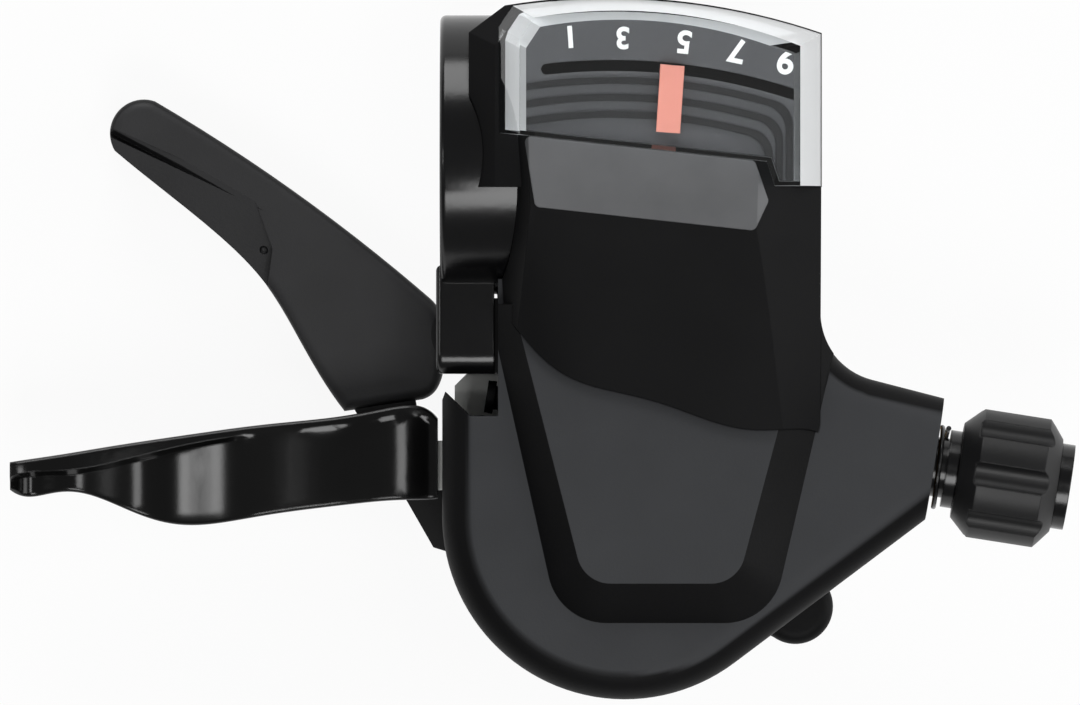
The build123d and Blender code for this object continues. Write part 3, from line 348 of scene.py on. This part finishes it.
# Steel with a dipped coat: satin black.
COATED = Finish("coated_steel_black", "#121213", 0.4, gloss=0.3, grain=0.8, depth=0.006)
# Zinc-plated steel plate, tumbled before plating: pale and dull.
TUMBLED = Finish("tumbled_zinc_steel", "#F0F1EF", 0.75, metallic=1.0, grain=0.3, depth=0.01,
                 change=0.06)
# Steel with zinc plating: bright, with fine lines.
ZINC = Brushed("zinc_plated_steel", "#DADBD8", 0.46, metallic=1.0, grain=0.1, depth=0.004,
               lay=(1.0, 12.0, 1.0))
# Spring wire: darker steel with the fine lines of drawing.
WIRE = Brushed("drawn_spring_steel", "#8E8F91", 0.28, metallic=1.0, grain=0.08, depth=0.003)
# Brass insert: a warm glint in the cable nose, with turning lines.
BRASS = Brushed("turned_brass", "#C59A4E", 0.3, metallic=1.0, grain=0.1, depth=0.004)


@dataclass
class Workshop:
    """Keeps each finish's material, made once."""

    made: dict[str, bpy.types.Material] = field(default_factory=dict)

    def get(self, finish: Finish) -> bpy.types.Material:
        """Gives a finish's material, made when first asked for.

        Args:
            finish: The finish.

        Returns:
            Its material.
        """
        if finish.name not in self.made:
            self.made[finish.name] = finish.build()
        return self.made[finish.name]

    def dress(self, piece: bpy.types.Object, *finishes: Finish) -> None:
        """Puts finishes in a piece's material slots.

        Args:
            piece: The piece.
            finishes: Its finishes; the first is on all faces until another is assigned.
        """
        piece.data.materials.clear()
        for finish in finishes:
            piece.data.materials.append(self.get(finish))

    def paint(self, finish: Finish, *nodes: str) -> None:
        """Gives nodes of the part a finish.

        Args:
            finish: The finish.
            nodes: Names of the nodes.
        """
        for node in nodes:
            self.dress(frame["nodes"][node], finish)


def alone(piece: bpy.types.Object) -> None:
    """Leaves one object selected and active, in object mode.

    Args:
        piece: The object.
    """
    if bpy.context.object and bpy.context.object.mode != "OBJECT":
        bpy.ops.object.mode_set(mode="OBJECT")
    bpy.ops.object.select_all(action="DESELECT")
    piece.select_set(True)
    bpy.context.view_layer.objects.active = piece


def dressed_copy(node: str, name: str, body: Body) -> bpy.types.Object:
    """Copies a node's mesh into a new piece with joined faces and smooth curves.

    Args:
        node: The node that the piece stands for.
        name: The new piece's name.
        body: The node's body.

    Returns:
        The piece, which rides on the body and replaces the node.
    """
    alone(frame["nodes"][node])
    bpy.ops.object.duplicate()
    piece = bpy.context.object
    piece.name = name
    piece.data.name = name
    piece.parent = None
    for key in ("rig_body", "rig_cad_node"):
        del piece[key]
    alone(piece)
    bpy.ops.object.mode_set(mode="EDIT")
    bpy.ops.mesh.select_all(action="SELECT")
    bpy.ops.mesh.customdata_custom_splitnormals_clear()
    bpy.ops.mesh.remove_doubles(threshold=WELD)
    bpy.ops.object.mode_set(mode="OBJECT")
    bpy.ops.object.shade_smooth_by_angle(angle=SMOOTH_ANGLE)
    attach(piece, body.value)
    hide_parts(node)
    LOG.info(name)
    return piece


def ease(value: float, low: float, high: float) -> float:
    """Measures a value between two others.

    Args:
        value: The value.
        low: What gives 0.
        high: What gives 1.

    Returns:
        How far the value is from low to high, as a share that may go past either end.
    """
    return (value - low) / (high - low)


def mark_corners(
        piece: bpy.types.Object, name: str, rule: Callable[[Vector, Vector], float]) -> None:
    """Keeps a share from 0 to 1 at each corner of each face, for a finish to read.

    Args:
        piece: The piece.
        name: The attribute's name.
        rule: Takes a corner's place in millimetres and its normal, and gives the share.
    """
    mesh = piece.data
    shares = [rule(mesh.vertices[loop.vertex_index].co / MM, loop.normal) for loop in mesh.loops]
    kept = mesh.attributes.new(name, "FLOAT", "CORNER")
    kept.data.foreach_set("value", [min(1.0, max(0.0, share)) for share in shares])


def carve(piece: bpy.types.Object, cutter: bpy.types.Object) -> None:
    """Cuts one object out of a piece and deletes it.

    Args:
        piece: The piece.
        cutter: What is cut out.
    """
    alone(piece)
    cut = piece.modifiers.new("carve", "BOOLEAN")
    cut.operation = "DIFFERENCE"
    cut.solver = "EXACT"
    cut.object = cutter
    bpy.ops.object.modifier_apply(modifier=cut.name)
    alone(cutter)
    bpy.ops.object.delete()
    alone(piece)
    bpy.ops.object.shade_smooth_by_angle(angle=SMOOTH_ANGLE)


def assign_where(
        piece: bpy.types.Object, finish: Finish, test: Callable[[Vector, Vector], bool]) -> None:
    """Gives the faces that pass a test another of the piece's finishes.

    Args:
        piece: The piece.
        finish: The finish, which is in one of the piece's slots.
        test: Takes a face's centre in millimetres and its normal, and says whether it is one.
    """
    alone(piece)
    piece.active_material_index = piece.data.materials.find(finish.name)
    bpy.ops.object.mode_set(mode="EDIT")
    bpy.ops.mesh.select_mode(type="FACE")
    bpy.ops.mesh.select_all(action="DESELECT")
    bpy.ops.object.mode_set(mode="OBJECT")
    for face in piece.data.polygons:
        face.select = test(face.center / MM, face.normal)
    bpy.ops.object.mode_set(mode="EDIT")
    bpy.ops.object.material_slot_assign()
    bpy.ops.object.mode_set(mode="OBJECT")


@dataclass
class Shell:
    """The grey top cover with its black-painted step and its rim darkened by painted shade, and
    what closes the unit below.

    The steep values are the normal's height under which a place turns black: in general, at the
    right of the rim and on the cable nose. Soft is half the width of the black's edge on that
    measure. Side_rate is how soon the right side's value takes over as the rim turns.
    """

    steep: float = 0.975
    steep_side: float = 0.92
    steep_nose: float = 0.84
    side_rate: float = 2.0
    soft: float = 0.012
    nose_at: tuple[float, float] = (34.0, -31.0)
    boss_top: float = 2.0

    def build(self, shop: Workshop) -> None:
        """Dresses the covers.

        Args:
            shop: The finishes.
        """
        cover = dressed_copy("top_cover", "cover_shell", Body.SHELL)
        # The mark lays black paint on the step and painted shade on the steep rim and the nose
        # edge.
        mark_corners(cover, COVER.mark, self.painted)
        shop.dress(cover, COVER)
        shop.paint(HOUSING, "lower_cover", "cable_plug")

    def painted(self, place: Vector, normal: Vector) -> float:
        """Says how much black a place has, paint on the step and painted shade on the rim: all
        where the cover isn't flat, and all on the low boss.

        Args:
            place: The place, in millimetres.
            normal: Its normal.

        Returns:
            The share, which may go past 0 or 1.
        """
        if place.z < self.boss_top:
            return 1.0
        flat = self.steep
        if place.x > self.nose_at[0] and place.y > self.nose_at[1]:
            flat = self.steep_nose
        elif normal.x > 0 > normal.y:
            flat -= (self.steep - self.steep_side) * min(1.0, -self.side_rate * normal.x / normal.y)
        return ease(normal.z, flat + self.soft, flat - self.soft)


@dataclass(frozen=True)
class Figure:
    """One printed digit: its middle, x along the bar and y to the rider, and its height, in mm."""

    digit: str
    x: float
    y: float
    height: float


@dataclass
class Indicator:
    """The housing over the bar, the lens, the dial with its figures, and the pointer.

    Lengths are in millimetres. The frost values are the normal's height and its lean to the left,
    past which the lens stays clear of the rough walls and their painted highlight. Text_size is the
    size of text whose digits have a height of 1.
    """

    dial_top: float = 16.3
    rib_margin: float = 0.02
    frost_highlight_flat: float = 0.9
    frost_highlight_left: float = -0.3
    ink: float = 0.05
    stroke: float = 0.09
    text_size: float = 1.42
    pivot: tuple[float, float] = (12.66, -49.23)
    figures: tuple[Figure, ...] = (
        Figure("1", 8.5, 11.6, 2.1), Figure("3", 13.7, 11.5, 2.1), Figure("5", 19.8, 11.1, 2.2),
        Figure("7", 25.1, 10.2, 2.3), Figure("9", 30.0, 9.2, 2.5))

    def build(self, shop: Workshop) -> None:
        """Dresses the indicator and prints its figures.

        Args:
            shop: The finishes.
        """
        shop.dress(dressed_copy("indicator_housing", "housing_shell", Body.SHELL), HOUSING)
        lens = dressed_copy("indicator_lens", "lens_window", Body.SHELL)
        shop.dress(lens, LENS, FROST_AND_HIGHLIGHT)
        # The walls but the left one get the rough finish with the painted highlight.
        assign_where(lens, FROST_AND_HIGHLIGHT, lambda centre, normal: (
            abs(normal.z) < self.frost_highlight_flat and normal.x > self.frost_highlight_left))
        dial = dressed_copy("dial_plate", "dial_face", Body.SHELL)
        shop.dress(dial, DIAL, RIB)
        assign_where(dial, RIB, lambda centre, normal: centre.z > self.dial_top + self.rib_margin)
        shop.paint(PLATE, "name_plate")
        shop.paint(POINTER, "indicator_needle")
        for figure in self.figures:
            shop.dress(self.printed(figure), INK)

    def printed(self, figure: Figure) -> bpy.types.Object:
        """Prints one figure, upright for the rider and turned with the sweep of the pointer.

        Args:
            figure: The figure.

        Returns:
            The print, a thin mesh on the dial.
        """
        bpy.ops.object.select_all(action="DESELECT")
        turn = math.pi - math.atan2(figure.x - self.pivot[0], figure.y - self.pivot[1])
        bpy.ops.object.text_add(
            location=(figure.x * MM, figure.y * MM, self.dial_top * MM), rotation=(0, 0, turn))
        words = bpy.context.object
        words.data.body = figure.digit
        words.data.size = figure.height * MM * self.text_size
        words.data.offset = self.stroke * MM
        words.data.align_x = "CENTER"
        words.data.align_y = "CENTER"
        words.data.extrude = self.ink * MM
        bpy.ops.object.convert(target="MESH")
        piece = bpy.context.object
        piece.name = f"gear_figure_{figure.digit}"
        alone(piece)
        bpy.ops.object.transform_apply(location=True, rotation=True, scale=True)
        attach(piece, Body.SHELL.value)
        LOG.info(piece.name)
        return piece


@dataclass
class Levers:
    """The thumb lever and the finger lever.

    The thumb lever has a groove along its crease and a small dimple beside the groove's end. Places
    and lengths are in millimetres. The two steep values are the normal's height where the painted
    shade on the edges and the groove walls starts and where it is full.
    """

    groove_from: tuple[float, float, float] = (-38.8, 2.8, -13.1)
    groove_to: tuple[float, float, float] = (-22.0, -5.75, -12.5)
    groove_size: tuple[float, float] = (0.55, 0.7)
    groove_end: float = 0.1
    dimple: tuple[float, float, float] = (-22.5, -9.5, -13.95)
    dimple_radius: float = 0.45
    edge_shade_steep: tuple[float, float] = (0.8, 0.64)

    def build(self, shop: Workshop) -> None:
        """Dresses both levers.

        Args:
            shop: The finishes.
        """
        thumb = dressed_copy("main_lever_cap", "thumb_blade", Body.THUMB)
        carve(thumb, self.groove())
        carve(thumb, self.gate_mark())
        # Shade painted on the lever: its steep edges and the walls of the groove turn black.
        mark_corners(thumb, LEVER.mark, lambda place, normal: ease(normal.z, *self.edge_shade_steep))
        shop.dress(thumb, LEVER)
        shop.dress(dressed_copy("release_lever_cap", "finger_blade", Body.FINGER), FINGER)
        shop.paint(COATED, "main_lever_plate")
        shop.paint(ZINC, "release_lever_plate")

    def groove(self) -> bpy.types.Object:
        """Makes the cutter of the groove, which fades out towards the body.

        Returns:
            The cutter, a long thin wedge.
        """
        start, end = (Vector(point) * MM for point in (self.groove_from, self.groove_to))
        bpy.ops.object.select_all(action="DESELECT")
        bpy.ops.mesh.primitive_cone_add(
            vertices=4, radius1=MM, radius2=self.groove_end * MM, depth=(end - start).length)
        cutter = bpy.context.object
        cutter.scale = (self.groove_size[1], self.groove_size[0], 1.0)
        cutter.rotation_euler = (end - start).to_track_quat("Z", "X").to_euler()
        cutter.location = (start + end) / 2
        return cutter

    def gate_mark(self) -> bpy.types.Object:
        """Makes the cutter of the dimple.

        Returns:
            The cutter, a ball.
        """
        bpy.ops.object.select_all(action="DESELECT")
        bpy.ops.mesh.primitive_ico_sphere_add(
            subdivisions=3, radius=self.dimple_radius * MM, location=Vector(self.dimple) * MM)
        return bpy.context.object


@dataclass
class Clamp:
    """The bar clamp with its bolt and screws."""

    def build(self, shop: Workshop) -> None:
        """Dresses the clamp.

        Args:
            shop: The finishes.
        """
        shop.dress(dressed_copy("clamp_bracket", "clamp_band", Body.SHELL), ALLOY)
        shop.paint(COATED, "clamp_bolt")
        shop.paint(ZINC, "bracket_screws")


@dataclass
class Barrel:
    """The barrel adjuster."""

    def build(self, shop: Workshop) -> None:
        """Dresses the adjuster.

        Args:
            shop: The finishes.
        """
        shop.dress(dressed_copy("adjuster_knob", "barrel_knob", Body.BARREL), KNOB)
        shop.paint(ALLOY, "adjuster_bolt", "adjuster_washer", "adjuster_spring")
        shop.paint(BRASS, "adjuster_bush")


@dataclass
class Works:
    """The base and the mechanism inside."""

    steel: tuple[str, ...] = (
        "cover_screws", "lower_cover_screws", "main_axle", "thrust_washer", "axle_spacer",
        "lever_washer", "axle_nut", "ratchet_ring", "holding_pawl", "release_pivot_pin",
        "winding_pawl", "winding_pawl_pin", "indicator_pivot")
    springs: tuple[str, ...] = (
        "axle_clip", "drum_spring", "holding_pawl_spring", "winding_pawl_spring",
        "main_lever_spring", "release_lever_spring")

    def build(self, shop: Workshop) -> None:
        """Gives the inner pieces their finishes.

        Args:
            shop: The finishes.
        """
        shop.paint(TUMBLED, "base_plate")
        shop.paint(ZINC, *self.steel)
        shop.paint(WIRE, *self.springs)
        shop.paint(HOUSING, "winding_drum")


@dataclass(frozen=True)
class Lamp:
    """A square soft box: its place and its side in metres, and its power in watts."""

    name: str
    spot: tuple[float, float, float]
    size: float
    power: float


@dataclass
class Studio:
    """Camera, floor and lights.

    Aim, width, height, plane and floor_gap are in millimetres: the camera hangs at the height and
    frames the width on the plane of the cover. Floor_size is in metres.
    """

    aim: tuple[float, float] = (5.5, -19.85)
    width: float = 108.0
    height: float = 1500.0
    plane: float = 6.0
    sensor: float = 36.0
    floor_size: float = 6.0
    floor_gap: float = 0.2
    floor_white: float = 0.92
    room_light: float = 0.2
    lamps: tuple[Lamp, ...] = (
        Lamp("rear_box", (-0.1, 0.86, 0.385), 0.55, 5.5),
        Lamp("front_box", (0.05, -0.49, 0.755), 0.36, 3.0),
        Lamp("right_box", (0.83, 0.04, 0.335), 0.7, 4.5),
        Lamp("left_box", (-0.7, -0.03, 0.566), 0.13, 0.5),
        Lamp("top_box", (0.263, -0.02, 0.86), 0.19, 0.7))

    def build(self) -> None:
        """Sets up the studio."""
        self.camera()
        self.floor()
        self.lights()
        self.world()
        bpy.context.scene.view_settings.view_transform = "Standard"

    def camera(self) -> None:
        """Puts the camera straight above the part, with a long lens."""
        bpy.ops.object.select_all(action="DESELECT")
        spot = Vector((*self.aim, self.height)) * MM
        bpy.ops.object.camera_add(location=spot, rotation=(0, 0, 0))
        camera = bpy.context.object
        camera.data.sensor_width = self.sensor
        camera.data.lens = self.sensor * (self.height - self.plane) / self.width
        camera.data.clip_end = 10.0
        bpy.context.scene.camera = camera

    def floor(self) -> None:
        """Lays a pale floor just under the part; the camera sees it white, with the shadow."""
        low = CAD_BOX[0][2]
        bpy.ops.object.select_all(action="DESELECT")
        bpy.ops.mesh.primitive_plane_add(
            size=self.floor_size, location=(0, 0, low - self.floor_gap * MM))
        floor = bpy.context.object
        floor.name = "studio_floor"
        paper = bpy.data.materials.new("white_paper")
        paper.use_nodes = True
        tree = paper.node_tree
        shader = tree.nodes["Principled BSDF"]
        shader.inputs["Base Color"].default_value = linear("#EDEDED")
        shader.inputs["Roughness"].default_value = 0.9
        white = {"Color": linear("#FFFFFF"), "Strength": 1.0}
        glow = add_node(tree, "ShaderNodeEmission", white, {})
        rays = add_node(tree, "ShaderNodeLightPath", {}, {}).outputs
        mirror = add_node(tree, "ShaderNodeMath", {"operation": "MAXIMUM"},
                          {0: rays["Is Glossy Ray"], 1: rays["Is Transmission Ray"]})
        seen = add_node(tree, "ShaderNodeMath", {"operation": "MAXIMUM"},
                        {0: rays["Is Camera Ray"], 1: mirror.outputs[0]})
        share = add_node(tree, "ShaderNodeMath", {"operation": "MULTIPLY", 1: self.floor_white},
                         {0: seen.outputs[0]})
        mix = add_node(tree, "ShaderNodeMixShader", {},
                       {0: share.outputs[0], 1: shader.outputs[0], 2: glow.outputs[0]})
        tree.links.new(mix.outputs[0], tree.nodes["Material Output"].inputs["Surface"])
        floor.data.materials.append(paper)

    def lights(self) -> None:
        """Hangs the soft boxes and turns them to the part."""
        aim = Vector((*self.aim, 0)) * MM
        for lamp in self.lamps:
            bpy.ops.object.select_all(action="DESELECT")
            bpy.ops.object.light_add(type="AREA", location=lamp.spot)
            made = bpy.context.object
            made.name = lamp.name
            made.data.size = lamp.size
            made.data.energy = lamp.power
            made.rotation_euler = (aim - made.location).to_track_quat("-Z", "Y").to_euler()

    def world(self) -> None:
        """Fills the room with even light."""
        made = bpy.data.worlds.new("pale_room")
        bpy.context.scene.world = made
        made.use_nodes = True
        back = made.node_tree.nodes["Background"]
        back.inputs["Color"].default_value = linear("#FFFFFF")
        back.inputs["Strength"].default_value = self.room_light


def main() -> None:
    """Builds and dresses the part, then sets up the studio."""
    logging.basicConfig(level=logging.INFO, format="%(name)s: %(message)s")
    shop = Workshop()
    for assembly in (Shell(), Indicator(), Levers(), Clamp(), Barrel(), Works()):
        assembly.build(shop)
        LOG.info("%s done", type(assembly).__name__)
    Studio().build()


if __name__ == "__main__":
    main()
